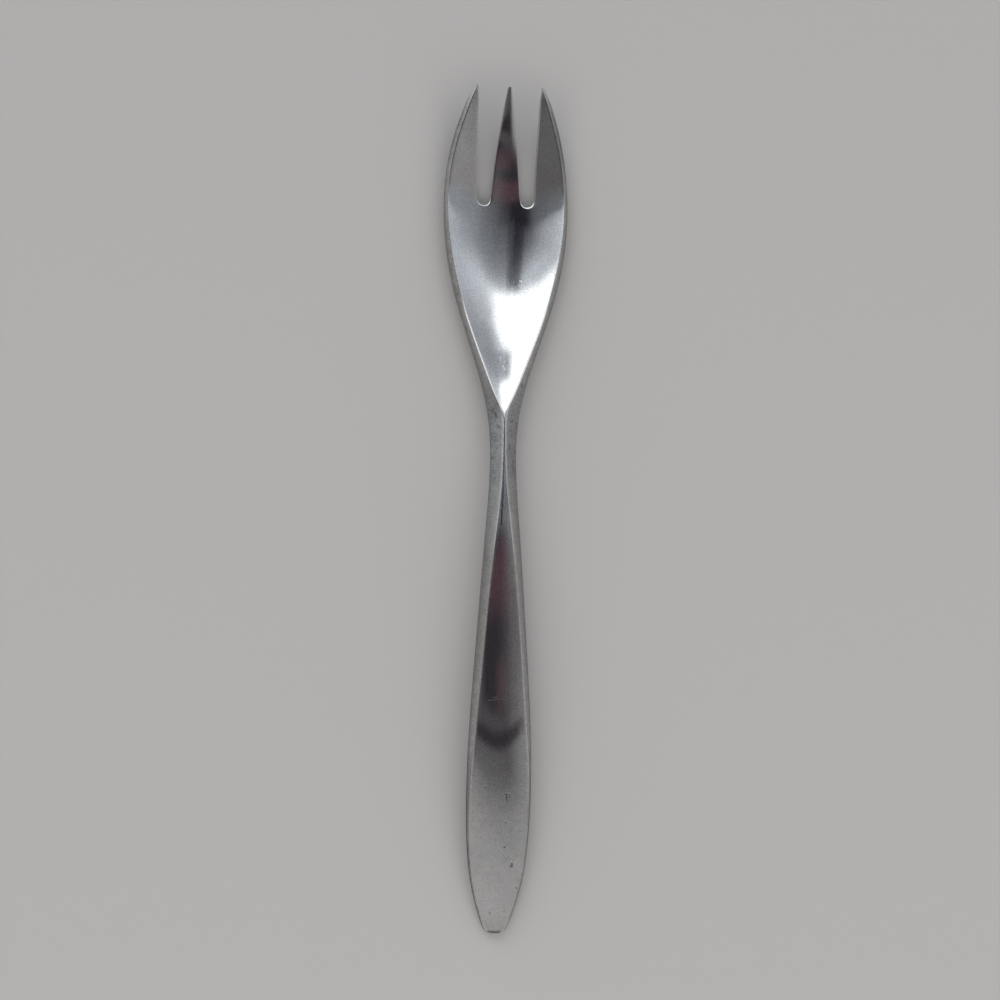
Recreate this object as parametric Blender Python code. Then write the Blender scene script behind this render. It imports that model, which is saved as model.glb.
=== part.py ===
# A salad fork: one steel forging with a dished head cut into tines, a ridged neck and a paddle handle.
# It lies face up on a table: +Y runs along it to the tine tips, +Z is up and the table is at Z = 0.
# Sizes are in metres.

import math

import bmesh
import bpy
import numpy as np
from mathutils import Vector

# Lengths along the fork
HANDLE_LENGTH = 0.0895  # butt to the narrowest point of the neck
HEAD_LENGTH = 0.0755  # narrowest point of the neck to the tine tips
BUTT_ROUND = 0.0050  # length over which the end of the handle is rounded

# Widths of the outline
BUTT_WIDTH = 0.0052  # end of the handle, before it is rounded
BUTT_FLAT = 0.0010  # straight bit left at the very end
PALM_WIDTH = 0.0119  # widest place of the handle
NECK_WIDTH = 0.0050
BOWL_WIDTH = 0.0251  # widest place of the head
TIPS_WIDTH = 0.0146  # across the outer tine tips

# Sloping flanks between the front face and the outline: how far they run out and how far they fall
RIDGE_WIDTH = 0.0006  # front face where the flanks nearly meet on the neck
BUTT_FLANK_RUN = 0.00035
GRIP_FLANK_RUN = 0.00138
CROTCH_FLANK_RUN = 0.0030  # at the point where the bowl's edges run together
RIM_FLANK_RUN = 0.00085
TIP_FLANK_RUN = 0.00035
BUTT_FLANK_FALL = 0.00045
GRIP_FLANK_FALL = 0.0024
NECK_FLANK_FALL = 0.0019
RIM_FLANK_FALL = 0.00115
TIP_FLANK_FALL = 0.0005

# Thickness on the centre line
BUTT_THICKNESS = 0.0015
PALM_THICKNESS = 0.0021
NECK_THICKNESS = 0.0037
BOWL_THICKNESS = 0.00175
TIP_THICKNESS = 0.00095

# Heights and hollows of the front face
ARCH_HEIGHT = 0.0080  # face of the handle at the top of its arch, above the table
NECK_HEIGHT = 0.0061  # ridge of the neck, above the table
TIP_HEIGHT = 0.0070  # face at the tine tips, above the table
BOWL_DEPTH = 0.0022  # hollow of the head, below its edges
GRIP_DEPTH = 0.0003  # hollow of the upper handle, below its edges
PALM_CROWN = 0.0002  # swell of the lower handle, above its edges
REST_WEAR = 0.00012  # worn flat where the head and the butt touch the table

# Slots between the tines
TINE_LENGTH = 0.0235  # bottom of the slots to the tine tips
SLOT_ROOT_WIDTH = 0.0029
MIDDLE_ROOT_WIDTH = 0.0059  # middle tine beside the roots of the slots
MIDDLE_TIP_WIDTH = 0.00085
OUTER_TIP_WIDTH = 0.0011

# Backs of the three zones: 2 is a plain bow, more is flatter in the middle
HANDLE_BACK_POWER = 3.0
NECK_BACK_POWER = 2.4
HEAD_BACK_POWER = 2.0

# Steps of the mesh
FACE_STEPS = 8
BACK_STEPS = 11  # odd, so that the middle of the back is one flat strip
BUTT_STEPS = 6
HANDLE_STEP = 0.0034
HEAD_STEP = 0.0024
ROOT_STEPS = 12
CUTTER_MARGIN = 0.004

STEEL_COLOUR = (0.56, 0.55, 0.53, 1.0)
STEEL_ROUGHNESS = 0.28
SHARP_ANGLE = math.radians(28)


def on_handle(share):
    return share * HANDLE_LENGTH


def on_head(share):
    return HANDLE_LENGTH + share * HEAD_LENGTH


# Named places along the fork, counted from the butt
BUTT = on_handle(0.0)
HEEL = on_handle(0.09)
SWELL = on_handle(0.18)
PALM = on_handle(0.27)
RISE = on_handle(0.42)
GRIP = on_handle(0.60)
TAPER = on_handle(0.84)
RIDGE = on_handle(0.92)
NECK = on_handle(1.0)
CROTCH = on_head(0.105)
FAN = on_head(0.165)
SHOULDER = on_head(0.27)
CUP = on_head(0.43)
WELL = on_head(0.56)
BOWL = on_head(0.675)
TINE = on_head(0.80)
CLAW = on_head(0.91)
TIP = on_head(1.0)


def mix(first, second, share):
    return first + (second - first) * share


def spline(*points):
    # Natural cubic curve through (place, value) points.
    places, values = np.array(points, float).T
    count = len(places)
    gaps = np.diff(places)
    slopes = np.diff(values) / gaps
    rows = np.eye(count)
    right = np.zeros(count)
    for i in range(1, count - 1):
        rows[i, i - 1:i + 2] = gaps[i - 1], 2 * (gaps[i - 1] + gaps[i]), gaps[i]
        right[i] = 6 * (slopes[i] - slopes[i - 1])
    bends = np.linalg.solve(rows, right)

    def value(place):
        i = min(max(int(np.searchsorted(places, place)) - 1, 0), count - 2)
        gap = gaps[i]
        after = place - places[i]
        before = gap - after
        cubic = (bends[i] * before ** 3 + bends[i + 1] * after ** 3) / (6 * gap)
        start = (values[i] / gap - bends[i] * gap / 6) * before
        end = (values[i + 1] / gap - bends[i + 1] * gap / 6) * after
        return float(cubic + start + end)

    return value


outline = spline(
    (BUTT, BUTT_WIDTH / 2),
    (HEEL, mix(BUTT_WIDTH, PALM_WIDTH, 0.57) / 2),
    (SWELL, mix(BUTT_WIDTH, PALM_WIDTH, 0.91) / 2),
    (PALM, PALM_WIDTH / 2),
    (GRIP, mix(PALM_WIDTH, NECK_WIDTH, 0.37) / 2),
    (TAPER, mix(PALM_WIDTH, NECK_WIDTH, 0.81) / 2),
    (NECK, NECK_WIDTH / 2),
    (CROTCH, mix(NECK_WIDTH, BOWL_WIDTH, 0.062) / 2),
    (SHOULDER, mix(NECK_WIDTH, BOWL_WIDTH, 0.40) / 2),
    (CUP, mix(NECK_WIDTH, BOWL_WIDTH, 0.762) / 2),
    (WELL, mix(NECK_WIDTH, BOWL_WIDTH, 0.945) / 2),
    (BOWL, BOWL_WIDTH / 2),
    (TINE, mix(BOWL_WIDTH, TIPS_WIDTH, 0.10) / 2),
    (CLAW, mix(BOWL_WIDTH, TIPS_WIDTH, 0.46) / 2),
    (TIP, TIPS_WIDTH / 2),
)

flank_run = spline(
    (BUTT, BUTT_FLANK_RUN),
    (PALM, mix(BUTT_FLANK_RUN, GRIP_FLANK_RUN, 0.55)),
    (GRIP, GRIP_FLANK_RUN),
    (TAPER, mix(GRIP_FLANK_RUN, CROTCH_FLANK_RUN, 0.33)),
    (RIDGE, mix(GRIP_FLANK_RUN, CROTCH_FLANK_RUN, 0.46)),
    (NECK, mix(GRIP_FLANK_RUN, CROTCH_FLANK_RUN, 0.64)),
    (CROTCH, CROTCH_FLANK_RUN),
    (FAN, mix(CROTCH_FLANK_RUN, RIM_FLANK_RUN, 0.42)),
    (SHOULDER, mix(CROTCH_FLANK_RUN, RIM_FLANK_RUN, 0.69)),
    (CUP, mix(CROTCH_FLANK_RUN, RIM_FLANK_RUN, 0.83)),
    (BOWL, RIM_FLANK_RUN),
    (CLAW, mix(RIM_FLANK_RUN, TIP_FLANK_RUN, 0.05)),
    (TIP, TIP_FLANK_RUN),
)

flank_fall = spline(
    (BUTT, BUTT_FLANK_FALL),
    (PALM, mix(BUTT_FLANK_FALL, GRIP_FLANK_FALL, 0.22)),
    (GRIP, GRIP_FLANK_FALL),
    (TAPER, mix(GRIP_FLANK_FALL, NECK_FLANK_FALL, 0.2)),
    (NECK, NECK_FLANK_FALL),
    (SHOULDER, mix(NECK_FLANK_FALL, RIM_FLANK_FALL, 0.75)),
    (BOWL, RIM_FLANK_FALL),
    (TINE, mix(RIM_FLANK_FALL, TIP_FLANK_FALL, 0.3)),
    (TIP, TIP_FLANK_FALL),
)

thickness = spline(
    (BUTT, BUTT_THICKNESS),
    (PALM, PALM_THICKNESS),
    (GRIP, mix(PALM_THICKNESS, NECK_THICKNESS, 0.72)),
    (TAPER, NECK_THICKNESS),
    (NECK, NECK_THICKNESS),
    (SHOULDER, mix(NECK_THICKNESS, BOWL_THICKNESS, 0.52)),
    (CUP, mix(NECK_THICKNESS, BOWL_THICKNESS, 0.84)),
    (BOWL, BOWL_THICKNESS),
    (TINE, mix(BOWL_THICKNESS, TIP_THICKNESS, 0.28)),
    (TIP, TIP_THICKNESS),
)

butt_face = BUTT_THICKNESS - REST_WEAR
bowl_face = BOWL_THICKNESS - REST_WEAR
face_height = spline(
    (BUTT, butt_face),
    (SWELL, mix(butt_face, ARCH_HEIGHT, 0.44)),
    (RISE, mix(butt_face, ARCH_HEIGHT, 0.90)),
    (GRIP, ARCH_HEIGHT),
    (TAPER, mix(ARCH_HEIGHT, NECK_HEIGHT, 0.30)),
    (NECK, NECK_HEIGHT),
    (SHOULDER, mix(NECK_HEIGHT, bowl_face, 0.40)),
    (CUP, mix(NECK_HEIGHT, bowl_face, 0.71)),
    (WELL, mix(NECK_HEIGHT, bowl_face, 0.92)),
    (BOWL, bowl_face),
    (TINE, mix(bowl_face, TIP_HEIGHT, 0.10)),
    (CLAW, mix(bowl_face, TIP_HEIGHT, 0.49)),
    (TIP, TIP_HEIGHT),
)

hollow = spline(
    (BUTT, -PALM_CROWN / 2),
    (PALM, -PALM_CROWN),
    (RISE, GRIP_DEPTH / 2),
    (GRIP, GRIP_DEPTH),
    (NECK, 0.0),
    (CROTCH, 0.0),
    (SHOULDER, BOWL_DEPTH * 0.48),
    (CUP, BOWL_DEPTH * 0.88),
    (WELL, BOWL_DEPTH),
    (BOWL, BOWL_DEPTH * 0.90),
    (TINE, BOWL_DEPTH * 0.56),
    (TIP, BOWL_DEPTH * 0.05),
)

back_power = spline(
    (BUTT, HANDLE_BACK_POWER),
    (GRIP, HANDLE_BACK_POWER),
    (NECK, NECK_BACK_POWER),
    (CUP, HEAD_BACK_POWER),
    (TIP, HEAD_BACK_POWER),
)


def half_width(place):
    # The outline, drawn in to a round end at the butt.
    if place >= BUTT_ROUND:
        return outline(place)
    left = 1 - place / BUTT_ROUND
    return mix(BUTT_FLAT / 2, outline(place), math.sqrt(1 - left ** 2))


def section(place):
    # Closed ring of points across the fork: front face, right flank, back, left flank.
    half = half_width(place)
    face = max(RIDGE_WIDTH / 2, half - flank_run(place))
    height = face_height(place)
    dish = hollow(place)
    edge = height + dish
    foot = edge - flank_fall(place)
    lowest = height - thickness(place)
    power = back_power(place)
    y = place - TIP / 2
    front = []
    for step in range(FACE_STEPS + 1):
        across = mix(-1, 1, step / FACE_STEPS)
        front.append((face * across, height + dish * across ** 2))
    back = []
    for step in range(BACK_STEPS + 1):
        across = math.cos(math.pi * step / BACK_STEPS)
        back.append((half * across, mix(lowest, foot, abs(across) ** power)))
    middle = ((face + half) / 2, (edge + foot) / 2)
    ring = front + [middle] + back + [(-middle[0], middle[1])]
    return [Vector((x, y, max(z, 0.0))) for x, z in ring]


def ring_places():
    angles = [math.pi / 2 * step / BUTT_STEPS for step in range(BUTT_STEPS)]
    places = [BUTT_ROUND * (1 - math.cos(angle)) for angle in angles]
    for start, end, step in ((BUTT_ROUND, NECK, HANDLE_STEP), (NECK, TIP, HEAD_STEP)):
        count = max(2, round((end - start) / step))
        places += [mix(start, end, i / count) for i in range(count)]
    return places + [TIP]


def forged_blank():
    # The end face of the butt is drawn along the fork, ring by ring.
    shape = bmesh.new()
    places = ring_places()
    cap = shape.faces.new([shape.verts.new(point) for point in section(places[0])])
    for place in places[1:]:
        made = bmesh.ops.extrude_face_region(shape, geom=[cap, *cap.edges, *cap.verts])
        cap = next(item for item in made["geom"] if isinstance(item, bmesh.types.BMFace))
        for vert, point in zip(cap.verts, section(place)):
            vert.co = point
    bmesh.ops.recalc_face_normals(shape, faces=shape.faces)
    return shape


def slot_cutter(side):
    # A slot's plan, round at its root and open past the tips, drawn up through the head.
    radius = SLOT_ROOT_WIDTH / 2
    inner_root = MIDDLE_ROOT_WIDTH / 2
    outer_root = inner_root + SLOT_ROOT_WIDTH
    inner_tip = MIDDLE_TIP_WIDTH / 2
    outer_tip = TIPS_WIDTH / 2 - OUTER_TIP_WIDTH
    centre = inner_root + radius
    tip_y = TIP / 2
    root_y = tip_y - TINE_LENGTH + radius
    past = 1 + CUTTER_MARGIN / (tip_y - root_y)
    points = []
    for step in range(ROOT_STEPS + 1):
        angle = math.pi * (1 + step / ROOT_STEPS)
        points.append((centre + radius * math.cos(angle), root_y + radius * math.sin(angle)))
    points.append((mix(outer_root, outer_tip, past), tip_y + CUTTER_MARGIN))
    points.append((mix(inner_root, inner_tip, past), tip_y + CUTTER_MARGIN))
    shape = bmesh.new()
    plan = shape.faces.new([shape.verts.new((side * x, y, -CUTTER_MARGIN)) for x, y in points])
    made = bmesh.ops.extrude_face_region(shape, geom=[plan])
    rise = TIP_HEIGHT + BOWL_DEPTH + 2 * CUTTER_MARGIN
    top = [item for item in made["geom"] if isinstance(item, bmesh.types.BMVert)]
    bmesh.ops.translate(shape, verts=top, vec=(0, 0, rise))
    bmesh.ops.recalc_face_normals(shape, faces=shape.faces)
    return shape


def make_object(name, shape):
    mesh = bpy.data.meshes.new(name)
    shape.to_mesh(mesh)
    shape.free()
    made = bpy.data.objects.new(name, mesh)
    bpy.context.scene.collection.objects.link(made)
    return made


def steel():
    made = bpy.data.materials.new("polished_steel")
    made.use_nodes = True
    shader = made.node_tree.nodes["Principled BSDF"]
    shader.inputs["Base Color"].default_value = STEEL_COLOUR
    shader.inputs["Metallic"].default_value = 1.0
    shader.inputs["Roughness"].default_value = STEEL_ROUGHNESS
    return made


def build():
    for old in list(bpy.data.objects):
        bpy.data.objects.remove(old)
    fork = make_object("salad_fork", forged_blank())
    fork.data.shade_smooth()
    fork.data.set_sharp_from_angle(angle=SHARP_ANGLE)
    fork.data.materials.append(steel())
    for name, side in (("left", -1), ("right", 1)):
        cutter = make_object(f"{name}_slot_cutter", slot_cutter(side))
        cutter.hide_render = True
        cutter.display_type = "WIRE"
        cut = fork.modifiers.new(f"{name} slot", "BOOLEAN")
        cut.operation = "DIFFERENCE"
        cut.solver = "EXACT"
        cut.object = cutter


build()
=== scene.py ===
import math

import bmesh
import bpy
from mathutils import Matrix, Vector


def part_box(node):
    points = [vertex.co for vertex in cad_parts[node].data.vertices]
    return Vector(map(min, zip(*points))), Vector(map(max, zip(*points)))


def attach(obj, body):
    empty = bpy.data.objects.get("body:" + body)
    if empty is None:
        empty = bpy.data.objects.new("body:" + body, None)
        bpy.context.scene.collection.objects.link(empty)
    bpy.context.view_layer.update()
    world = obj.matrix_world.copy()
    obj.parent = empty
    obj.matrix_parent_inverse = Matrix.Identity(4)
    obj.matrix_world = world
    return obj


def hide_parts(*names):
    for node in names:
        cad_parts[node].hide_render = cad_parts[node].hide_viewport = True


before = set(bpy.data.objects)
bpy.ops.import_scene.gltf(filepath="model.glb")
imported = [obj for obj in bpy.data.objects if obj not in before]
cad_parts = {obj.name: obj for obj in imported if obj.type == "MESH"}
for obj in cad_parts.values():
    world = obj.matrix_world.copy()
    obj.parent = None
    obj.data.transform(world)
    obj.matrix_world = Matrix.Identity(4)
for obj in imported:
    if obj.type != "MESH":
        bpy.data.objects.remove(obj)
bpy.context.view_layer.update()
forkLow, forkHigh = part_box("salad_fork")
scene = bpy.context.scene
scene.view_settings.view_transform = "Standard"

# the fork is drawn below in millimetres, and mm is one of them in the frame
forkLength = 165
mm = (forkHigh.y - forkLow.y) / forkLength
print("frame loaded, fork is", round((forkHigh.y - forkLow.y) * 1000, 1), "mm long")


def mixOf(first, second, share):
    return first + (second - first) * share


def easeOf(value, low, high):
    share = min(1, max(0, (value - low) / (high - low)))
    return share * share * (3 - 2 * share)


# the larger of two sizes, with the corner between them eased
def softMost(first, second, ease):
    return (first + second + math.hypot(first - second, ease)) / 2


# smooth curve through a few (place, size) points, with no bend at its two ends
def curveThrough(points):
    places = [point[0] for point in points]
    sizes = [point[1] for point in points]
    count = len(points)
    gaps = [places[i + 1] - places[i] for i in range(count - 1)]
    slopes = [(sizes[i + 1] - sizes[i]) / gaps[i] for i in range(count - 1)]
    spread = [0] * count
    pull = [0] * count
    bends = [0] * count
    for i in range(1, count - 1):
        weight = 2 * (gaps[i - 1] + gaps[i]) - gaps[i - 1] * spread[i - 1]
        spread[i] = gaps[i] / weight
        pull[i] = (6 * (slopes[i] - slopes[i - 1]) - gaps[i - 1] * pull[i - 1]) / weight
    for i in range(count - 2, 0, -1):
        bends[i] = pull[i] - spread[i] * bends[i + 1]

    def sizeAt(place):
        i = max(0, min(count - 2, sum(1 for start in places[1:] if place >= start)))
        gap = gaps[i]
        before = (places[i + 1] - place) / gap
        after = (place - places[i]) / gap
        lift = (before ** 3 - before) * bends[i] + (after ** 3 - after) * bends[i + 1]
        return before * sizes[i] + after * sizes[i + 1] + lift * gap * gap / 6

    return sizeAt


# one socket of a node tree; adding, multiplying and so on adds the Math nodes
class Wire:
    def __init__(self, tree, socket):
        self.tree = tree
        self.socket = socket

    def node(self, kind, settings=None, inputs=None, output=0):
        made = self.tree.nodes.new("ShaderNode" + kind)
        for name, value in (settings or {}).items():
            if name == "stops":
                self.setStops(made.color_ramp, value)
            else:
                setattr(made, name, value)
        for name, value in (inputs or {}).items():
            if isinstance(value, Wire):
                self.tree.links.new(value.socket, made.inputs[name])
            else:
                made.inputs[name].default_value = value
        return Wire(self.tree, made.outputs[output])

    def setStops(self, ramp, stops):
        ramp.elements[0].position = stops[0][0]
        ramp.elements[1].position = stops[-1][0]
        for place, shade in stops[1:-1]:
            ramp.elements.new(place)
        for element, (place, shade) in zip(ramp.elements, stops):
            element.color = (shade, shade, shade, 1)

    def math(self, operation, first, second=0):
        return self.node("Math", {"operation": operation}, {0: first, 1: second})

    def vector(self, operation, inputs, output=0):
        return self.node("VectorMath", {"operation": operation}, inputs, output)

    def __add__(self, other):
        return self.math("ADD", self, other)

    def __radd__(self, other):
        return self.math("ADD", other, self)

    def __sub__(self, other):
        return self.math("SUBTRACT", self, other)

    def __rsub__(self, other):
        return self.math("SUBTRACT", other, self)

    def __mul__(self, other):
        return self.math("MULTIPLY", self, other)

    def __rmul__(self, other):
        return self.math("MULTIPLY", other, self)

    def __truediv__(self, other):
        return self.math("DIVIDE", self, other)

    def __rtruediv__(self, other):
        return self.math("DIVIDE", other, self)

    def __abs__(self):
        return self.math("ABSOLUTE", self)

    def most(self, other):
        return self.math("MAXIMUM", self, other)

    def least(self, other):
        return self.math("MINIMUM", self, other)

    # 0 below low, 1 above high, eased between them
    def ease(self, low, high):
        limits = {"Value": self, "From Min": low, "From Max": high}
        return self.node("MapRange", {"interpolation_type": "SMOOTHSTEP"}, limits)

    # the same for a falling edge: 1 below low, 0 above high
    def fall(self, low, high):
        return 1 - self.ease(low, high)

    # a colour between two others, by this share
    def blend(self, first, second):
        return self.node("Mix", {"data_type": "RGBA"}, {0: self, 6: first, 7: second}, 2)

    # this value drawn to another one by a share
    def towards(self, other, share):
        return self + share * (other - self)


def deselectAll():
    bpy.ops.object.select_all(action="DESELECT")


# fork: (place, size) points in millimetres, places counted from the handle's end
forkShape = {
    "halfWidth": [
        (0, 1.9), (8.05, 4.51), (16.1, 5.65), (24.2, 5.95), (53.7, 4.67), (75.2, 3.2), (89.5, 2.55),
        (97.4, 3.25), (109.9, 6.55), (122, 10.16), (131.8, 12), (140.5, 12.52), (149.9, 11.9),
        (158.2, 9.95), (165, 7.4),
    ],
    # the handle's end: how far its rounding runs, and half the width of the flat left on it
    "buttRound": 1.5,
    "buttFlat": 0.55,
    # the face never gets narrower than the neck's ridge
    "ridgeHalf": 0.2,
    "ridgeEase": 0.1,
    # the flanks: how far they run outwards from the rim, and how far they fall
    "flankRun": [
        (0, 0.2), (15, 0.3), (24.2, 0.44), (31, 0.72), (39, 1.12), (53.7, 1.38), (75.2, 2), (82.3, 2.22),
        (89.5, 2.42), (96.6, 2.78), (100.3, 2), (105.6, 1.42), (111, 1.15), (122, 1.02), (140.5, 0.88),
        (149.9, 0.93), (158.2, 1.06), (165, 0.8),
    ],
    "flankFall": [
        (0, 0.35), (15, 0.5), (24.2, 0.75), (31, 1.15), (39, 1.75), (53.7, 2.4), (75.2, 2.3), (89.5, 1.9),
        (109.9, 1.34), (140.5, 1.15), (149.9, 0.96), (165, 0.5),
    ],
    "thickness": [
        (0, 1.5), (24.2, 2.1), (53.7, 3.25), (75.2, 3.7), (89.5, 3.7), (109.9, 2.69), (122, 2.06),
        (140.5, 1.75), (149.9, 1.53), (165, 0.95),
    ],
    # the middle line of the face
    "height": [
        (0, 1.38), (16.1, 4.25), (37.6, 7.2), (53.7, 7.87), (75.2, 7.3), (89.5, 5.98), (96.5, 5.396),
        (99.5, 5.076), (102, 4.752), (104.5, 4.39), (107, 4.023), (109.5, 3.663), (112, 3.331),
        (115, 2.955), (118, 2.62), (123, 2.24), (130, 1.95), (136, 1.84), (143, 1.93), (149, 2.62),
        (155, 4), (165, 7.05),
    ],
    # how far the rim stands above the middle of the face; below 0 the face is crowned
    "hollow": [
        (0, 0), (4, -0.06), (24.2, -0.4), (37.6, -0.28), (53.7, -0.15), (75.2, -0.08), (89.5, -0.02),
        (97.4, 0.02), (109.9, 1.06), (122, 1.94), (131.8, 2.2), (140.5, 2.03), (149.9, 1.37),
        (165, 0.35),
    ],
    # how boxy the back is: 2 is a parabola, more is flatter in the middle
    "backPower": [(0, 3), (53.7, 3), (89.5, 2.4), (122, 2), (165, 2)],
    # half the width of the rounding along the rim, and the most of the face that it takes
    "rimRound": [
        (0, 0.14), (15, 0.22), (26, 0.4), (38, 0.3), (60, 0.18), (97.4, 0.19), (104, 0.36), (118, 0.38),
        (130, 0.22), (140.5, 0.18), (165, 0.09),
    ],
    "rimRoundMost": 0.45,
    "footRound": 0.22,
    # the roundings at the flank's rim and foot stay above the first and below the second share of it
    "flankSteps": (0.35, 0.65),
    # the slots: their roots, and where their sides lie at the roots and at the tips
    "slotRoot": 142.6,
    "slotRadius": 1.45,
    "slotInner": (2.95, 0.43),
    "slotOuter": (5.85, 6.2),
    "slotEdgeRound": 0.13,
    "slotEdgeSteps": 2,
    # the cage's rows bend round the roots, by these many slot radii
    "rootRow": 0.95,
    "rootMiddle": 1.1,
    "rootSide": 0.78,
    # the cage's columns move over to the slots' sides along this stretch
    "slotPull": (118, 139),
    # how far the middle tine's sides are bowed outwards
    "tineBow": 0.3,
    # how far the middle tine's face is crowned towards its tip, times its width squared
    "tineCrown": 0.07,
    "crownPlaces": (150, 160),
    # the tines' last millimetres narrow to blunt points: the middle tine's share, and the outer ones'
    "tipStart": 162,
    "tipShares": (0.85, 0.62),
    "tipLean": 0.25,
    "tipNarrowPower": 1.5,
    "tipThin": 0.45,
    "tipThinPower": 2,
    # where the cage's columns lie: shares of the face, and shares of the back
    "faceShares": (0, 0.15, 0.3, 0.41, 0.52, 0.76, 1),
    "backShares": (0.93, 0.74, 0.48, 0.38, 0.28, 0.14, 0),
    # stretches of rows: first place, last place, steps between them
    "rows": [
        (2, 10, 5), (10, 88, 26), (88, 101, 11), (101, 139.6, 18), (143.1, 162, 10), (162, 164.7, 5),
        (164.7, 165, 2),
    ],
    "rowGap": 0.01,
    "buttRows": 7,
    # the finish changes halfway over the rim
    "rimFinish": 0.5,
    "mirrorMerge": 0.01,
    "smoothLevels": 2,
}

forkCurves = {}
for lawName in (
    "halfWidth", "flankRun", "flankFall", "thickness", "height", "hollow", "backPower", "rimRound",
):
    forkCurves[lawName] = curveThrough(forkShape[lawName])

# columns of the cage, counted from the middle of the face over the rim to the middle of the back;
# the flank takes three steps from the rim to the outline
rimColumn = len(forkShape["faceShares"])
outlineColumn = rimColumn + 3
lastColumn = outlineColumn + len(forkShape["backShares"])
slotColumns = (2, 3, 4)
backSlotColumns = tuple(lastColumn - column for column in slotColumns)


# places of the cage's rows along the fork, and the number of the row at the slots' roots
def rowPlaces():
    shape = forkShape
    places = []
    for step in range(shape["buttRows"] + 1):
        turn = step / shape["buttRows"] * math.pi / 2
        places.append(shape["buttRound"] * (1 - math.cos(turn)))
    rootRow = None
    for first, last, steps in shape["rows"]:
        if rootRow is None and first > shape["slotRoot"]:
            rootRow = len(places)
            places.append(shape["slotRoot"] - shape["rootRow"] * shape["slotRadius"])
        for step in range(steps + 1):
            place = mixOf(first, last, step / steps)
            if place > places[-1] + shape["rowGap"]:
                places.append(place)
    return places, rootRow


# where the sides of the right-hand slot lie at a place along the fork
def slotSides(place):
    shape = forkShape
    share = (place - shape["slotRoot"]) / (forkLength - shape["slotRoot"])
    inner = mixOf(*shape["slotInner"], share)
    if 0 < share < 1:
        inner += shape["tineBow"] * 4 * share * (1 - share)  # all of it halfway
    outer = mixOf(*shape["slotOuter"], share)
    return inner, outer


def halfWidthAt(place):
    half = forkCurves["halfWidth"](place)
    if place < forkShape["buttRound"]:
        reach = math.sqrt(1 - (1 - place / forkShape["buttRound"]) ** 2)
        half = mixOf(forkShape["buttFlat"], half, reach)
    return half


# the fork's right half, cut across at one place; its points are (across, rise)
class ForkSection:
    def __init__(self, place):
        shape = forkShape
        sizes = {name: curve(place) for name, curve in forkCurves.items()}
        self.place = place
        self.half = halfWidthAt(place)
        self.face = softMost(shape["ridgeHalf"], self.half - sizes["flankRun"], shape["ridgeEase"])
        self.height = sizes["height"]
        self.hollow = sizes["hollow"]
        self.rim = self.height + self.hollow
        self.foot = self.rim - sizes["flankFall"]
        self.lowest = self.height - sizes["thickness"]
        self.backPower = sizes["backPower"]
        self.roundness = min(sizes["rimRound"], shape["rimRoundMost"] * self.face)
        self.inner, self.outer = slotSides(place)

    # a column's place across the fork, moved over to the slot's sides
    def pulled(self, column, across):
        inner = self.inner
        outer = self.outer
        edge = self.face - self.roundness
        wanted = (0, inner / 2, inner, (inner + outer) / 2, outer, (outer + edge) / 2)
        if column >= len(wanted):
            return across
        return mixOf(across, wanted[column], easeOf(self.place, *forkShape["slotPull"]))

    # height of the face, without the middle tine's crown
    def faceRise(self, across):
        return self.height + self.hollow * (across / self.face) ** 2

    def facePoint(self, column, across):
        shape = forkShape
        if across is None:
            across = self.pulled(column, shape["faceShares"][column] * (self.face - self.roundness))
        rise = self.faceRise(across)
        if column <= slotColumns[0]:
            rise -= shape["tineCrown"] * easeOf(self.place, *shape["crownPlaces"]) * across ** 2
        return across, rise

    def flankPoint(self, column):
        length = math.hypot(self.half - self.face, self.rim - self.foot)
        upper, lower = forkShape["flankSteps"]
        upper = min(upper, self.roundness / length)
        lower = max(lower, 1 - forkShape["footRound"] / length)
        share = (0, upper, lower, 1)[column - rimColumn]
        return mixOf(self.face, self.half, share), mixOf(self.rim, self.foot, share)

    def backPoint(self, column, across):
        shape = forkShape
        if across is None:
            across = shape["backShares"][column - outlineColumn - 1] * self.half
            if column == outlineColumn + 1:
                across = max(across, self.half - shape["footRound"])
            across = self.pulled(lastColumn - column, across)
        share = (across / self.half) ** self.backPower
        return across, max(0, mixOf(self.lowest, self.foot, share))

    # the tines' last millimetres get narrower and thinner
    def tipPoint(self, column, across, rise):
        shape = forkShape
        reach = (self.place - shape["tipStart"]) / (forkLength - shape["tipStart"])
        if reach <= 0:
            return across, rise
        onMiddleTine = column <= slotColumns[0] or column >= backSlotColumns[0]
        middle = 0 if onMiddleTine else mixOf(self.outer, self.half, shape["tipLean"])
        share = shape["tipShares"][0 if onMiddleTine else 1]
        drop = self.faceRise(across) - rise
        across = mixOf(middle, across, 1 - (1 - share) * reach ** shape["tipNarrowPower"])
        rise = self.faceRise(across) - drop * (1 - shape["tipThin"] * reach ** shape["tipThinPower"])
        return across, rise


def cagePoint(column, place, across=None):
    section = ForkSection(place)
    if column < rimColumn:
        across, rise = section.facePoint(column, across)
    elif column <= outlineColumn:
        across, rise = section.flankPoint(column)
    else:
        across, rise = section.backPoint(column, across)
    across, rise = section.tipPoint(column, across, rise)
    return Vector((across * mm, place * mm + forkLow.y, rise * mm))


# the row at the slots' roots bends round them
def rootPoint(column, place):
    shape = forkShape
    radius = shape["slotRadius"]
    centre = sum(slotSides(shape["slotRoot"])) / 2
    wanted = column if column < rimColumn else lastColumn - column
    if wanted not in slotColumns:
        return cagePoint(column, place)
    side = wanted - slotColumns[1]
    back = shape["rootSide"] if side else shape["rootMiddle"]
    return cagePoint(column, shape["slotRoot"] - back * radius, centre + side * shape["rootSide"] * radius)


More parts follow.
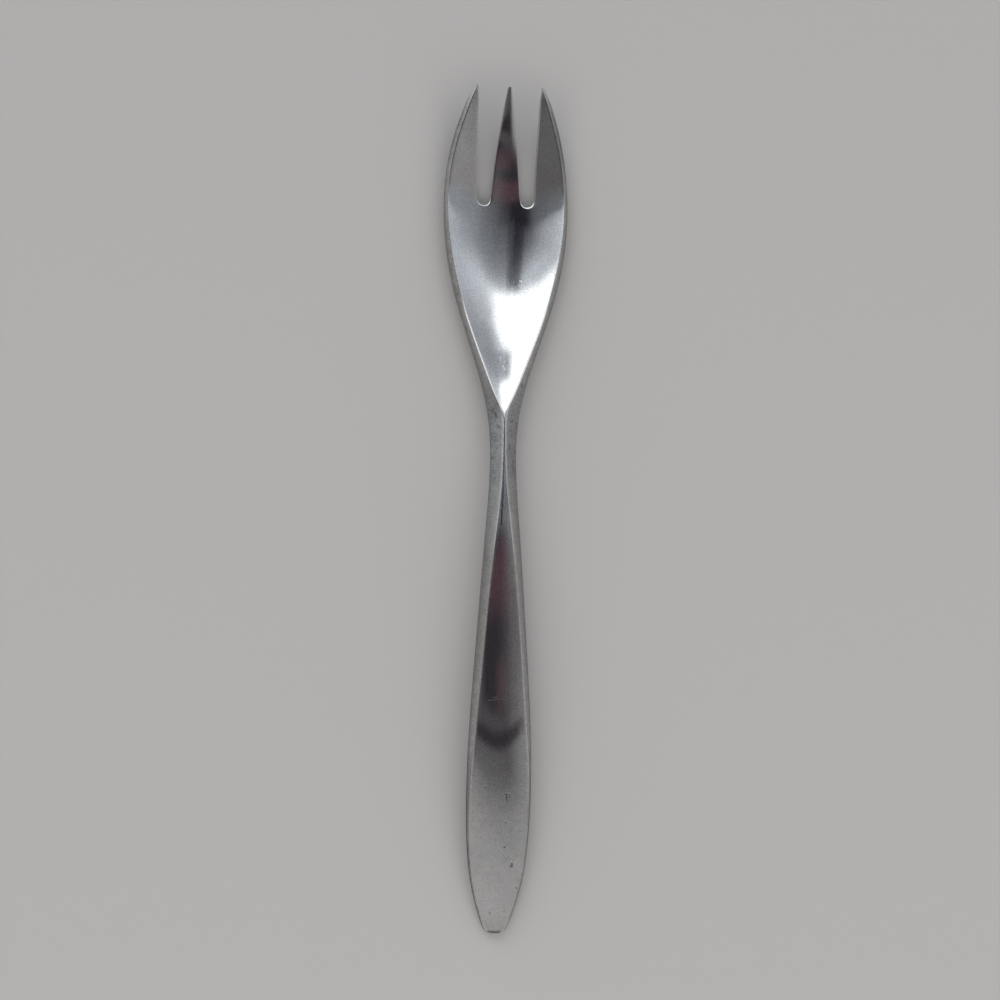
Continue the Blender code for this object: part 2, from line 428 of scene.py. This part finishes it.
# marks that each cage point carries for the steel, from 0 to 1
def finishMarks(row, column):
    frontFace = 1 if column < rimColumn else 0
    if column == rimColumn:
        frontFace = forkShape["rimFinish"]
    return {
        "frontFace": frontFace,
        "rimWear": 1 if column == rimColumn else 0,
        # where painted shade goes: round the outline and the handle's end
        "footGrime": 1 if row == 0 or column in (outlineColumn, outlineColumn + 1) else 0,
        "flankRise": 1 if column <= rimColumn + 1 else 0,
    }


# selects the cage points that a test of their row and column picks
def pickCage(fork, wanted):
    cage = bmesh.from_edit_mesh(fork.data)
    rowMark = cage.verts.layers.int["cageRow"]
    columnMark = cage.verts.layers.int["cageColumn"]
    for vert in cage.verts:
        vert.select = bool(wanted(vert[rowMark], vert[columnMark]))
    cage.select_mode = {"VERT"}
    cage.select_flush_mode()
    bmesh.update_edit_mesh(fork.data)


# selects the slots' edges on the face and on the back, without the walls between them
def pickSlotEdges(fork, onSlotEdge):
    cage = bmesh.from_edit_mesh(fork.data)
    rowMark = cage.verts.layers.int["cageRow"]
    columnMark = cage.verts.layers.int["cageColumn"]
    cage.select_mode = {"EDGE"}
    for edge in cage.edges:
        first, second = edge.verts
        sameSide = (first[columnMark] < rimColumn) == (second[columnMark] < rimColumn)
        onEdges = all(onSlotEdge(vert[rowMark], vert[columnMark]) for vert in edge.verts)
        edge.select_set(bool(sameSide and onEdges))
    cage.select_flush_mode()
    bmesh.update_edit_mesh(fork.data)


# a grid whose columns wrap round the fork's right half
def makeCage(places, rootRow):
    lastRow = len(places) - 1
    deselectAll()
    bpy.ops.mesh.primitive_grid_add(x_subdivisions=lastColumn, y_subdivisions=lastRow, size=1)
    fork = bpy.context.object
    fork.name = "forgedFork"
    mesh = fork.data
    for markName in ("cageRow", "cageColumn"):
        mesh.attributes.new(markName, "INT", "POINT")
    for markName in finishMarks(0, 0):
        mesh.attributes.new(markName, "FLOAT", "POINT")
    # the grid is 1 wide and lies round the origin, which gives each point's row and column
    for vert in mesh.vertices:
        column = round((vert.co.x + 0.5) * lastColumn)
        row = round((vert.co.y + 0.5) * lastRow)
        marks = {"cageRow": row, "cageColumn": column, **finishMarks(row, column)}
        for markName, value in marks.items():
            mesh.attributes[markName].data[vert.index].value = value
        pointOf = rootPoint if row == rootRow else cagePoint
        vert.co = pointOf(column, places[row])
    print("fork cage has", lastRow + 1, "rows, slots start at row", rootRow)
    return fork


def makeFork():
    shape = forkShape
    places, rootRow = rowPlaces()
    lastRow = len(places) - 1
    fork = makeCage(places, rootRow)

    def onSlotEdge(row, column):
        if row == rootRow:
            return column in slotColumns or column in backSlotColumns
        sides = (slotColumns[0], slotColumns[2], backSlotColumns[0], backSlotColumns[2])
        return row > rootRow and column in sides

    # the slots: the strips between the tines go, then walls join the face to the back
    bpy.ops.object.mode_set(mode="EDIT")
    stripColumns = (slotColumns[1], backSlotColumns[1])
    pickCage(fork, lambda row, column: column in stripColumns and row > rootRow)
    bpy.ops.mesh.delete(type="VERT")
    pickCage(fork, onSlotEdge)
    bpy.ops.mesh.bridge_edge_loops()

    # ends of the outer tine, of the middle tine's half and of the handle
    outerColumns = range(slotColumns[2], backSlotColumns[2] + 1)
    pickCage(fork, lambda row, column: row == lastRow and column in outerColumns)
    bpy.ops.mesh.edge_face_add()
    pickCage(fork, lambda row, column: row == lastRow and column not in outerColumns)
    bpy.ops.mesh.edge_face_add()
    pickCage(fork, lambda row, column: row == 0)
    bpy.ops.mesh.edge_face_add()

    # the slots' edges are eased where they meet the face and the back
    pickSlotEdges(fork, onSlotEdge)
    edgeRound = shape["slotEdgeRound"] * mm
    bpy.ops.mesh.bevel(offset=edgeRound, segments=shape["slotEdgeSteps"], affect="EDGES")
    bpy.ops.object.mode_set(mode="OBJECT")

    bpy.ops.object.modifier_add(type="MIRROR")
    mirror = fork.modifiers[-1]
    mirror.merge_threshold = shape["mirrorMerge"] * mm
    bpy.ops.object.modifier_apply(modifier=mirror.name)
    bpy.ops.object.mode_set(mode="EDIT")
    bpy.ops.mesh.select_all(action="SELECT")
    bpy.ops.mesh.normals_make_consistent(inside=False)
    bpy.ops.object.mode_set(mode="OBJECT")

    bpy.ops.object.modifier_add(type="SUBSURF")
    smooth = fork.modifiers[-1]
    smooth.levels = shape["smoothLevels"]
    smooth.render_levels = shape["smoothLevels"]
    bpy.ops.object.modifier_apply(modifier=smooth.name)
    bpy.ops.object.shade_smooth()
    for markName in ("cageRow", "cageColumn"):
        fork.data.attributes.remove(fork.data.attributes[markName])
    print("fork has", len(fork.data.polygons) * 2, "triangles")
    return fork


# steel: places, lengths and depths in the fork's millimetres
steelLook = {
    "colour": (0.54, 0.533, 0.52, 1),
    "tarnish": (0.49, 0.477, 0.461, 1),
    # painted shade: the flanks are coloured darker than the steel, and the neck's flanks darker still
    "shadedFlankColour": (0.36, 0.355, 0.346, 1),
    "shadedNeckColour": (0.292, 0.288, 0.283, 1),
    # painted shade: the neck's ridge is coloured dark, standing in for the dark that it reflects
    "ridgeShadeColour": (0.19, 0.188, 0.195, 1),
    # painted highlight: the pale colour of the rim's glints
    "glintColour": (0.86, 0.85, 0.84, 1),
    # the dark colour of the pits and of the painted shade
    "grime": (0.054, 0.051, 0.049, 1),
    "faceRoughness": 0.06,
    "bowlRoughness": 0.036,
    "palmRoughness": 0.21,
    "flankRoughness": 0.42,
    "ridgeRoughness": 0.2,
    "tineSideRoughness": 0.4,
    "rimRoughness": 0.13,
    "glintRoughness": 0.28,
    "scratchRoughness": 0.22,
    # stretches of the fork: where each one comes in along it, and where it goes out
    "stretches": {
        "bowl": ((93, 99), None),
        "palm": (None, (13, 31)),
        "neck": ((76, 90), (97, 108)),
        "ridge": ((72, 80), (92, 97)),
        "dullRidge": ((66, 77), (93, 97)),
        "neckRim": ((64, 74), (95, 99)),
        "bowlPoint": ((95.5, 98), (116, 122)),
        "tineRims": ((140, 150), None),
        "tineFlanks": ((146, 154), (157, 163)),
        "dullTine": ((147, 156), None),
        "tips": ((162.4, 165), None),
        "handleFeet": (None, (36, 60)),
        "handleFlanks": (None, (22, 36)),
        "buttEdge": (None, (0.1, 0.75)),
        "buttFace": (None, (0.6, 3.4)),
        "buttFlank": (None, (0.9, 2.4)),
    },
    # noises: scale, detail, roughness
    "grain": (3.4, 2, 0.65),
    "mottle": (0.5, 3, 0.6),
    "cloud": (0.11, 3, 0.55),
    "streakNoise": (1, 3, 0.6),
    # fine streaks: how long and how wide they are, how they are turned, and which of the noise shows
    "hair": (4.5, 0.14, 0),
    "slanted": (5, 0.12, 24),
    "slantedEdge": (0.63, 0.72),
    "crossing": (4, 0.1, -38),
    "crossingEdge": (0.64, 0.72),
    # how much the noises change the roughness, and the colour: everywhere, on the palm, on the flanks
    "roughByHair": 0.9,
    "roughByMottle": 0.4,
    "roughByCloud": 0.5,
    "roughBySlanted": 0.03,
    "grainEdge": (0.55, 0.8),
    "roughByGrain": 0.04,
    "bowlGrain": -0.025,
    "tarnishEdge": (0.35, 0.75),
    "tarnishShare": 0.8,
    "shadeByGrain": (0.8, -0.3, 0.6),
    "shadeByMottle": (0.1, 0.25, 0.4),
    "shadeByHair": 0.3,
    "palmShadeByCloud": 0.5,
    # painted light and shade: the flanks are painted lighter from their foot to the rim, less so on the
    # neck, and darker on the tines; the neck's ridge is painted dark
    "flankMiddle": 0.45,
    "flankShade": 0.4,
    "neckShade": -0.25,
    "tineFlankShare": 0.1,
    "tineFlankShade": 0.35,
    "ridgeShadeShare": 0.9,
    # the middle tine: where its sides would meet, half its width for each millimetre from there,
    # which share of that half is rubbed dull, and how far from the middle line that may reach
    "tinePoint": 166.5,
    "tineTaper": 0.14,
    "dullShare": (0.1, 1.1),
    "dullReach": (2.6, 3.2),
    # the painted highlight on the rim: which of its rounding gets it, how far out the outer tips are, how
    # strong it is on them
    "glintRimEdge": (0.45, 0.9),
    "outerTips": (4, 5),
    "tipGlint": 0.3,
    "glintScatter": 0.95,
    # how dark the painted shade is in each place
    "paintedShadeShares": {
        "foot": 0.2, "handleFeet": 0.6, "handleFlanks": 0.45, "tineRims": 0.5, "crease": 0.75,
        "buttEdge": 0.85, "buttFace": 0.12, "buttFlank": 0.85,
    },
    # small pits of the flanks, one in each cell of a noise: their size and darkness, and more on the neck
    "pitCells": 0.95,
    "pitEdge": (0.07, 0.14),
    "neckPitEdge": 0.26,
    "cellPit": 0.4,
    "neckPit": 0.2,
    "placedFlankPit": 0.8,
    "flankPitEdge": (0, 0.2),
    "pitShare": 0.62,
    "hairDepth": 0.0005,
    "grainDepth": 0.0007,
    "flankGrainDepth": 0.008,
    "slantedDepth": 0.0004,
    "pitDepth": 0.012,
    "scratchDepth": 0.002,
    # marks of use, each a short line: from (across, along), to (across, along), half its width
    "pits": [
        ((1.35, 24.5), (1.3, 23.3), 0.24), ((1.82, 24.4), (1.85, 23.8), 0.17),
        ((1.32, 19.36), (1.36, 19.5), 0.19), ((1.2, 15.15), (1.3, 15.1), 0.21),
        ((2.72, 12.3), (2.66, 11.6), 0.26), ((2.3, 11.9), (2.35, 11.8), 0.16),
        ((3.73, 8.03), (3.78, 7.9), 0.22), ((-1.01, 3.41), (-1.0, 3.6), 0.16),
        ((1.51, 3.8), (1.6, 3.9), 0.14), ((-2.52, 25.4), (-2.5, 25.6), 0.13),
    ],
    "flankPits": [
        ((-2.2, 97.6), (-2.1, 97.3), 0.22), ((-1.68, 96.9), (-1.55, 96.0), 0.3),
        ((-1.0, 93.9), (-0.95, 93.7), 0.2), ((1.45, 95.1), (1.7, 95.3), 0.24),
        ((1.1, 90.2), (1.05, 89.6), 0.22), ((-2.2, 85.9), (-2.15, 85.2), 0.28),
        ((1.8, 87.4), (1.85, 86.6), 0.22), ((1.85, 86.2), (1.95, 85.2), 0.24),
        ((3.45, 102.9), (3.5, 102.4), 0.2), ((5.9, 108.5), (5.95, 108.1), 0.18),
        ((-7.6, 114.2), (-7.5, 113.5), 0.24),
    ],
    # painted shade: a dark line along the middle of the neck's ridge, standing in for the dark that it
    # reflects
    "ridgeShadeLines": [
        ((-0.55, 74), (-0.2, 81.5), 0.22), ((-0.2, 81.5), (-0.05, 87.5), 0.17),
        ((-0.05, 87.5), (0.02, 95.5), 0.12),
    ],
    "scratches": [
        ((-2.4, 40.95), (-0.9, 41.2), 0.07), ((-0.9, 41.2), (0.5, 41.35), 0.06),
        ((-1.7, 41.5), (-0.8, 41.6), 0.05), ((-7.25, 124.4), (-7.15, 123.5), 0.16),
        ((3.1, 125.3), (3.4, 125.2), 0.2), ((3.8, 123.9), (3.6, 123.3), 0.18),
        ((2.9, 124.3), (3.0, 124.2), 0.12), ((4.1, 125.1), (4.2, 125.0), 0.1),
        ((3.9, 122.6), (4.0, 122.6), 0.1), ((-1.1, 110.5), (-1.15, 109.8), 0.14),
        ((-0.8, 108.4), (-0.65, 107.6), 0.1), ((-0.3, 106.6), (0, 105.9), 0.12),
        ((1.4, 142.6), (1.3, 143.4), 0.08), ((-1.8, 144.3), (-0.9, 144.6), 0.07),
        ((-9.9, 145.6), (-9.6, 145.4), 0.1),
    ],
    # how much of a mark's half width is covered fully
    "markCore": 0.55,
    # pits and the painted shade line on the ridge are bent out of line by a noise: its scale, its detail,
    # and how far it bends them
    "wobbleScale": 2.2,
    "wobbleDetail": 1,
    "wobbleReach": 0.4,
}


# how far a line of use covers each point of the surface, from 0 to 1
def lineMark(spot, first, last, halfWidth):
    run = Vector((last[0] - first[0], last[1] - first[1], 0))
    fromStart = spot.vector("SUBTRACT", {0: spot, 1: (*first, 0)})
    toRun = {0: fromStart, 1: run / run.length_squared}
    share = spot.vector("DOT_PRODUCT", toRun, "Value").most(0).least(1)
    nearest = spot.vector("SCALE", {0: run, "Scale": share})
    gap = spot.vector("DISTANCE", {0: fromStart, 1: nearest}, "Value")
    return gap.fall(halfWidth * steelLook["markCore"], halfWidth)


def lineMarks(spot, lines):
    cover = lineMark(spot, *lines[0])
    for line in lines[1:]:
        cover = cover.most(lineMark(spot, *line))
    return cover


def makeSteel():
    look = steelLook
    material = bpy.data.materials.new("forkSteel")
    material.use_nodes = True
    tree = material.node_tree
    shader = tree.nodes["Principled BSDF"]
    start = Wire(tree, None)
    place = start.node("TexCoord", None, None, "Object")
    inMm = place.vector("SCALE", {0: place, "Scale": 1 / mm})
    across = inMm.node("SeparateXYZ", None, {0: inMm}, "X")
    along = inMm.node("SeparateXYZ", None, {0: inMm}, "Y") - forkLow.y / mm

    def mark(name):
        return start.node("Attribute", {"attribute_name": name}, None, "Fac")

    # 1 within a stretch of the fork, eased at its ends
    def stretch(name):
        comesIn, goesOut = look["stretches"][name]
        if goesOut is None:
            return along.ease(*comesIn)
        if comesIn is None:
            return along.fall(*goesOut)
        return along.ease(*comesIn) * along.fall(*goesOut)

    def noise(name, spot=inMm):
        scale, detail, roughness = look[name]
        settings = {"Vector": spot, "Scale": scale, "Detail": detail, "Roughness": roughness}
        return inMm.node("TexNoise", None, settings)

    def streaks(name):
        length, width, turn = look[name]
        settings = {"Rotation": (0, 0, math.radians(turn)), "Scale": (width, length, width)}
        turned = inMm.node("Mapping", {"vector_type": "TEXTURE"}, {"Vector": inMm, **settings})
        return noise("streakNoise", turned)

    # how far a noise lies above its middle
    def swing(pattern):
        return pattern - 0.5

    face = mark("frontFace")
    rim = mark("rimWear")
    foot = mark("footGrime")
    flankRise = mark("flankRise")
    satin = 1 - face
    bowl = face * stretch("bowl")
    palm = stretch("palm")
    neck = stretch("neck")
    ridge = face * stretch("ridge")
    tineFlank = stretch("tineFlanks")

    hair = streaks("hair")
    slanted = streaks("slanted").ease(*look["slantedEdge"])
    slanted = slanted.most(streaks("crossing").ease(*look["crossingEdge"]))
    grain = noise("grain")
    mottle = noise("mottle")
    cloud = noise("cloud")

    # marks of use, and the painted shade line on the ridge, on the fork laid flat
    settings = {"Vector": inMm, "Scale": look["wobbleScale"], "Detail": look["wobbleDetail"]}
    wobble = inMm.node("TexNoise", None, settings, "Color")
    wobble = inMm.vector("SUBTRACT", {0: wobble, 1: (0.5, 0.5, 0.5)})
    wobble = inMm.vector("SCALE", {0: wobble, "Scale": look["wobbleReach"]})
    flatSpot = inMm.node("CombineXYZ", None, {"X": across, "Y": along})
    bentSpot = inMm.vector("ADD", {0: flatSpot, 1: wobble})
    scratch = lineMarks(flatSpot, look["scratches"]) * face
    crease = lineMarks(bentSpot, look["ridgeShadeLines"]) * face
    cells = inMm.node("TexVoronoi", None, {"Vector": bentSpot, "Scale": look["pitCells"]})
    pitCore, pitReach = look["pitEdge"]
    cellPit = cells.fall(pitCore, pitReach + neck * look["neckPitEdge"])
    cellPit = cellPit * (look["cellPit"] + neck * look["neckPit"])
    placedPit = lineMarks(bentSpot, look["flankPits"]) * flankRise.ease(*look["flankPitEdge"])
    flankPit = cellPit.most(placedPit * look["placedFlankPit"])
    pit = (lineMarks(bentSpot, look["pits"]) * face).most(flankPit * satin)

    # painted shade: darker along the foot of the flanks, on the handle's flanks, on the tines' rims, along
    # the middle of the neck's ridge and round the handle's end
    shares = look["paintedShadeShares"]
    grime = foot * (shares["foot"] + stretch("handleFeet") * shares["handleFeet"])
    grime = grime + satin * stretch("handleFlanks") * shares["handleFlanks"]
    grime = grime.most(rim * stretch("tineRims") * shares["tineRims"])
    grime = grime.most(crease * shares["crease"])
    grime = grime.most(stretch("buttEdge") * shares["buttEdge"])
    grime = grime.most(stretch("buttFace") * shares["buttFace"])
    grime = grime.most(satin * stretch("buttFlank") * shares["buttFlank"])

    # the middle tine's right side is rubbed dull
    dullSide = (across / ((look["tinePoint"] - along) * look["tineTaper"])).ease(*look["dullShare"])
    dullSide = face * dullSide * abs(across).fall(*look["dullReach"]) * stretch("dullTine")

    # painted highlight: round the bowl's point and on the outer tips the rim is painted pale and made to
    # scatter light, and along the neck the rim is painted pale
    scatteringGlint = rim.ease(*look["glintRimEdge"]) * stretch("bowlPoint")
    scatteringGlint = scatteringGlint.most(abs(across).ease(*look["outerTips"]) * stretch("tips") * look["tipGlint"])
    rimGlint = (rim * stretch("neckRim")).most(scatteringGlint)

    rough = look["faceRoughness"] + palm * (look["palmRoughness"] - look["faceRoughness"])
    rough = rough + bowl * (look["bowlRoughness"] - look["faceRoughness"])
    rough = look["flankRoughness"] + face * (rough - look["flankRoughness"])
    unevenness = swing(hair) * look["roughByHair"] + swing(mottle) * look["roughByMottle"]
    rough = rough * (1 + unevenness + swing(cloud) * look["roughByCloud"])
    rough = rough + slanted * look["roughBySlanted"]
    rough = rough + grain.ease(*look["grainEdge"]) * (look["roughByGrain"] + bowl * look["bowlGrain"])
    rough = rough.towards(look["ridgeRoughness"], face * stretch("dullRidge"))
    rough = rough.towards(look["tineSideRoughness"], dullSide)
    rough = rough.towards(look["rimRoughness"], rim)
    rough = rough.towards(look["glintRoughness"], rimGlint)
    rough = rough.towards(look["scratchRoughness"], scratch)

    # strength of a shade everywhere, with what the palm and the flanks add
    def strength(name):
        everywhere, onPalm, onFlanks = look[name]
        return everywhere + palm * onPalm + satin * onFlanks

    tarnish = cloud.ease(*look["tarnishEdge"]) * look["tarnishShare"]
    colour = tarnish.blend(look["colour"], look["tarnish"])
    # painted shade: the flanks take darker colours than the face, darker again on the neck and a little
    # less dark on the tines
    shadedFlank = neck.blend(look["shadedFlankColour"], look["shadedNeckColour"])
    colour = (satin * (1 - tineFlank * look["tineFlankShare"])).blend(colour, shadedFlank)
    # painted shade: the neck's ridge is painted dark
    colour = (ridge * look["ridgeShadeShare"]).blend(colour, look["ridgeShadeColour"])
    shade = 1 + swing(grain) * strength("shadeByGrain") + swing(hair) * look["shadeByHair"]
    shade = shade + swing(mottle) * strength("shadeByMottle")
    # painted light and shade: the flanks' colour gets lighter from their foot to the rim, and darker on the
    # tines
    flankShade = satin * (flankRise - look["flankMiddle"]) * (look["flankShade"] + neck * look["neckShade"])
    shade = shade * (1 + flankShade + swing(cloud) * palm * look["palmShadeByCloud"])
    shade = shade * (1 - satin * tineFlank * look["tineFlankShade"])
    colour = colour.vector("SCALE", {0: colour, "Scale": shade})
    # painted highlight: the rim's glints are painted pale
    colour = rimGlint.blend(colour, look["glintColour"])
    # pits darken the steel, and so does the painted shade
    colour = (pit * look["pitShare"]).most(grime).blend(colour, look["grime"])

    height = swing(hair) * look["hairDepth"]
    height = height + swing(grain) * (look["grainDepth"] + satin * look["flankGrainDepth"])
    height = height - slanted * look["slantedDepth"]
    height = height - pit * look["pitDepth"] - scratch * look["scratchDepth"]
    bump = start.node("Bump", None, {"Strength": 1, "Distance": mm, "Height": height})

    tree.links.new(colour.socket, shader.inputs["Base Color"])
    tree.links.new(rough.socket, shader.inputs["Roughness"])
    tree.links.new(bump.socket, shader.inputs["Normal"])
    tree.links.new((1 - scatteringGlint * look["glintScatter"]).socket, shader.inputs["Metallic"])
    return material


fork = makeFork()
fork.data.materials.clear()
fork.data.materials.append(makeSteel())
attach(fork, "root")
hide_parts("salad_fork")
print("fork placed on its frame")


# floor, room and lamp: sizes in metres, the room by the directions that it is seen in
studio = {
    "floorSize": 14,
    "floorDrop": 0.00004,
    "floorColour": (0.47, 0.453, 0.436, 1),
    "floorRoughness": 0.9,
    "floorGloss": 0.1,
    "roomDark": (0.044, 0.040, 0.048, 1),
    "roomPlum": (0.105, 0.062, 0.08, 1),
    "skyDark": (0.026, 0.025, 0.036, 1),
    "roomLight": (0.81, 0.81, 0.82, 1),
    "skyLight": (0.75, 0.81, 0.90, 1),
    "windowLight": (1.86, 1.96, 2.06, 1),
    "roomPower": 1.11,
    # how light the room is by how far a direction leans to the right
    "acrossGlow": [
        (-0.9, 0.46), (-0.65, 0.3), (-0.5, 0.2), (-0.36, 0.16), (-0.15, 0.16), (-0.09, 0.1),
        (-0.055, 0.02), (-0.04, 0), (0.05, 0), (0.09, 0.015), (0.15, 0.055), (0.21, 0.135), (0.27, 0.2),
        (0.31, 0.3), (0.36, 0.38), (0.42, 0.42), (0.52, 0.45), (0.65, 0.48), (0.9, 0.68),
    ],
    # the same where a direction leans far towards the tips, which the bowl shows
    "bowlGlow": [
        (-0.9, 0.5), (-0.5, 0.34), (-0.4, 0.31), (-0.32, 0.25), (-0.24, 0.19), (-0.15, 0.04), (-0.1, 0),
        (0.03, 0), (0.06, 0.04), (0.09, 0.07), (0.15, 0.12), (0.21, 0.19), (0.27, 0.25), (0.33, 0.29),
        (0.45, 0.44), (0.6, 0.56), (0.9, 0.6),
    ],
    "skyAlong": [(0.3, 0), (0.42, 1)],
    # how light it is by how far a direction leans towards the tips: below, in bowed bands
    "lowGlow": [
        (-0.6, 0.4), (-0.44, 0.4), (-0.39, 0.58), (-0.355, 0.98), (-0.32, 0.76), (-0.28, 0.46),
        (-0.25, 0.38), (-0.225, 0.33), (-0.205, 0.23), (-0.19, 0.18), (-0.165, 0.15), (-0.13, 0.13),
        (-0.09, 0.08), (-0.04, 0.08), (-0.015, 0.03), (0.01, 0),
    ],
    "lowAcross": [(-0.4, 0.9), (-0.12, 0.95), (-0.03, 1), (0.1, 1), (0.2, 0.84), (0.4, 0.75)],
    "lowMiddle": 0.1,
    "lowBow": 1.2,
    # and high up: highGlow to the right of the seam, and rightGlow to the left of it, which the bowl
    # shows on its right side; each bends past a start, and a dark strip hangs in front of them
    "highGlow": [
        (0.408, 0), (0.42, 0.1), (0.43, 0.2), (0.445, 0.4), (0.455, 0.54), (0.465, 0.79), (0.475, 1),
        (0.5, 1), (0.53, 0.86), (0.55, 0.8), (0.573, 0.76), (0.586, 0.53), (0.7, 0.55), (0.9, 0.9),
    ],
    "highBend": (0.5, 0.12),
    "rightGlow": [
        (0.428, 0), (0.437, 0.12), (0.445, 0.3), (0.455, 0.54), (0.465, 0.78), (0.475, 0.98), (0.48, 1),
    ],
    "rightBend": (-0.32, 0.12),
    "glowSeam": (-0.02, 0.02),
    "highAcross": [
        (-0.13, 1), (-0.11, 0.88), (-0.09, 0.54), (-0.07, 0.37), (-0.04, 0.31), (0, 0.33), (0.03, 0.4),
        (0.06, 0.56), (0.08, 0.76), (0.1, 0.95), (0.12, 1), (0.43, 1), (0.52, 0.95), (0.62, 0.86),
    ],
    # two plum patches in the dark of the room
    "plumAcross": [(-0.12, 0), (-0.06, 1), (0.16, 1), (0.26, 0)],
    "plumAlong": [(0.17, 0), (0.23, 1), (0.33, 1), (0.37, 0)],
    "lowPlumAcross": [(0.04, 0), (0.09, 1), (0.14, 1), (0.2, 0)],
    "lowPlumAlong": [(-0.04, 0), (0, 0.35), (0.04, 0.6), (0.09, 0.65), (0.13, 0)],
    # a darker bar across the room that the handle's face shows as a curved band
    "barAlong": [(-0.125, 0), (-0.108, 1), (-0.08, 1), (-0.06, 0)],
    "barAcross": [(-0.14, 0), (-0.1, 1), (0.1, 1), (0.29, 0.85), (0.36, 0)],
    "barMiddle": 0.08,
    "barBow": 0.8,
    # the window above the tips: its lower edge slants, and a notch narrows it higher up
    "windowAlong": [(0.471, 0), (0.478, 0.33), (0.484, 0.75), (0.491, 1)],
    "windowAcross": [
        (-0.85, 0), (-0.65, 1), (0.22, 1), (0.27, 0.7), (0.3, 0.5), (0.34, 0.3), (0.38, 0.15),
        (0.45, 0.1), (0.52, 0.05), (0.62, 0),
    ],
    "windowSlant": 0.075,
    "notchAlong": [(0.567, 0), (0.583, 1)],
    "notchDepth": 0.35,
    # a wide lamp low behind the handle's end
    "lampPlace": (0, -2.5, 1.5),
    "lampSize": (5, 2.4),
    "lampPower": 92,
}


def makeFloor():
    deselectAll()
    bpy.ops.mesh.primitive_plane_add(size=studio["floorSize"], location=(0, 0, -studio["floorDrop"]))
    floor = bpy.context.object
    floor.name = "paleFloor"
    material = bpy.data.materials.new("palePlaster")
    material.use_nodes = True
    shader = material.node_tree.nodes["Principled BSDF"]
    shader.inputs["Base Color"].default_value = studio["floorColour"]
    shader.inputs["Roughness"].default_value = studio["floorRoughness"]
    shader.inputs["Specular IOR Level"].default_value = studio["floorGloss"]
    floor.data.materials.append(material)


def makeLamp():
    place = Vector(studio["lampPlace"])
    aim = place.to_track_quat("Z", "Y").to_euler()
    deselectAll()
    bpy.ops.object.light_add(type="AREA", location=place, rotation=aim)
    lamp = bpy.context.object
    lamp.name = "wideLamp"
    lamp.data.shape = "RECTANGLE"
    lamp.data.size, lamp.data.size_y = studio["lampSize"]
    lamp.data.energy = studio["lampPower"]
    lamp.visible_camera = False


# a room that is dim overhead, with pale sides and a wide soft window
def makeRoom():
    world = bpy.data.worlds.new("studioRoom")
    scene.world = world
    world.use_nodes = True
    tree = world.node_tree
    start = Wire(tree, None)
    direction = start.node("TexCoord", None, None, "Generated")
    across = direction.node("SeparateXYZ", None, {0: direction}, "X")
    along = direction.node("SeparateXYZ", None, {0: direction}, "Y")

    # a direction leans by -1 to 1, and a ramp runs from 0 to 1
    def onRamp(lean):
        return lean * 0.5 + 0.5

    def ramp(name, lean):
        stops = [(onRamp(place), shade) for place, shade in studio[name]]
        return direction.node("ValToRGB", {"stops": stops}, {0: onRamp(lean)})

    # how far along a direction leans, bowed by its distance from a middle line
    def bowed(middle, bow):
        offMiddle = across - studio[middle]
        return along - offMiddle * offMiddle * studio[bow]

    bar = ramp("barAlong", bowed("barMiddle", "barBow")) * ramp("barAcross", across)
    sky = ramp("skyAlong", along)
    sideGlow = ramp("acrossGlow", across) * (1 - sky) + ramp("bowlGlow", across) * sky
    lowGlow = ramp("lowGlow", bowed("lowMiddle", "lowBow")) * ramp("lowAcross", across)
    bendStart, bend = studio["highBend"]
    highGlow = ramp("highGlow", along - (across - bendStart).most(0) * bend)
    bendStart, bend = studio["rightBend"]
    rightGlow = ramp("rightGlow", along + (across - bendStart).least(0) * bend)
    highGlow = highGlow.towards(rightGlow, across.fall(*studio["glowSeam"]))
    highGlow = highGlow * ramp("highAcross", across)
    glow = sideGlow.most(lowGlow).most(highGlow) * (1 - bar)

    plum = ramp("plumAlong", along) * ramp("plumAcross", across)
    plum = plum.most(ramp("lowPlumAlong", along) * ramp("lowPlumAcross", across)) * (1 - bar)
    dark = sky.blend(plum.blend(studio["roomDark"], studio["roomPlum"]), studio["skyDark"])
    light = sky.blend(studio["roomLight"], studio["skyLight"])
    room = glow.blend(dark, light)
    windowEdge = ramp("windowAlong", along + across.least(0) * studio["windowSlant"])
    windowSide = ramp("windowAcross", across + ramp("notchAlong", along) * studio["notchDepth"])
    colour = (windowEdge * windowSide).blend(room, studio["windowLight"])
    backdrop = tree.nodes["Background"]
    tree.links.new(colour.socket, backdrop.inputs["Color"])
    backdrop.inputs["Strength"].default_value = studio["roomPower"]


makeFloor()
makeRoom()
makeLamp()
print("floor, room and lamp made")


# angles in degrees, distance and target in the fork's millimetres
cameraView = {
    "lens": 61.2,
    "sensorWidth": 36,
    "clipStart": 0.01,
    "turn": 6.5,
    "lean": 15,
    "roll": -0.82,
    "distance": 321.8,
    "target": (-0.57, 79.44, 5),
}


def makeCamera():
    view = cameraView
    turn = math.radians(view["turn"])
    lean = math.radians(view["lean"])
    roll = math.radians(view["roll"])
    x, place, z = view["target"]
    target = Vector((x * mm, place * mm + forkLow.y, z * mm))
    tilt = math.cos(turn)
    outward = Vector((-math.sin(turn), -math.sin(lean) * tilt, math.cos(lean) * tilt))
    right = Vector((math.sin(roll), math.cos(roll), 0)).cross(outward).normalized()
    upward = outward.cross(right)
    rotation = Matrix((right, upward, outward)).transposed().to_euler()
    deselectAll()
    bpy.ops.object.camera_add(location=target + outward * view["distance"] * mm, rotation=rotation)
    camera = bpy.context.object
    camera.name = "photoCamera"
    camera.data.lens = view["lens"]
    camera.data.sensor_width = view["sensorWidth"]
    camera.data.clip_start = view["clipStart"]
    scene.camera = camera


makeCamera()
print("camera set")
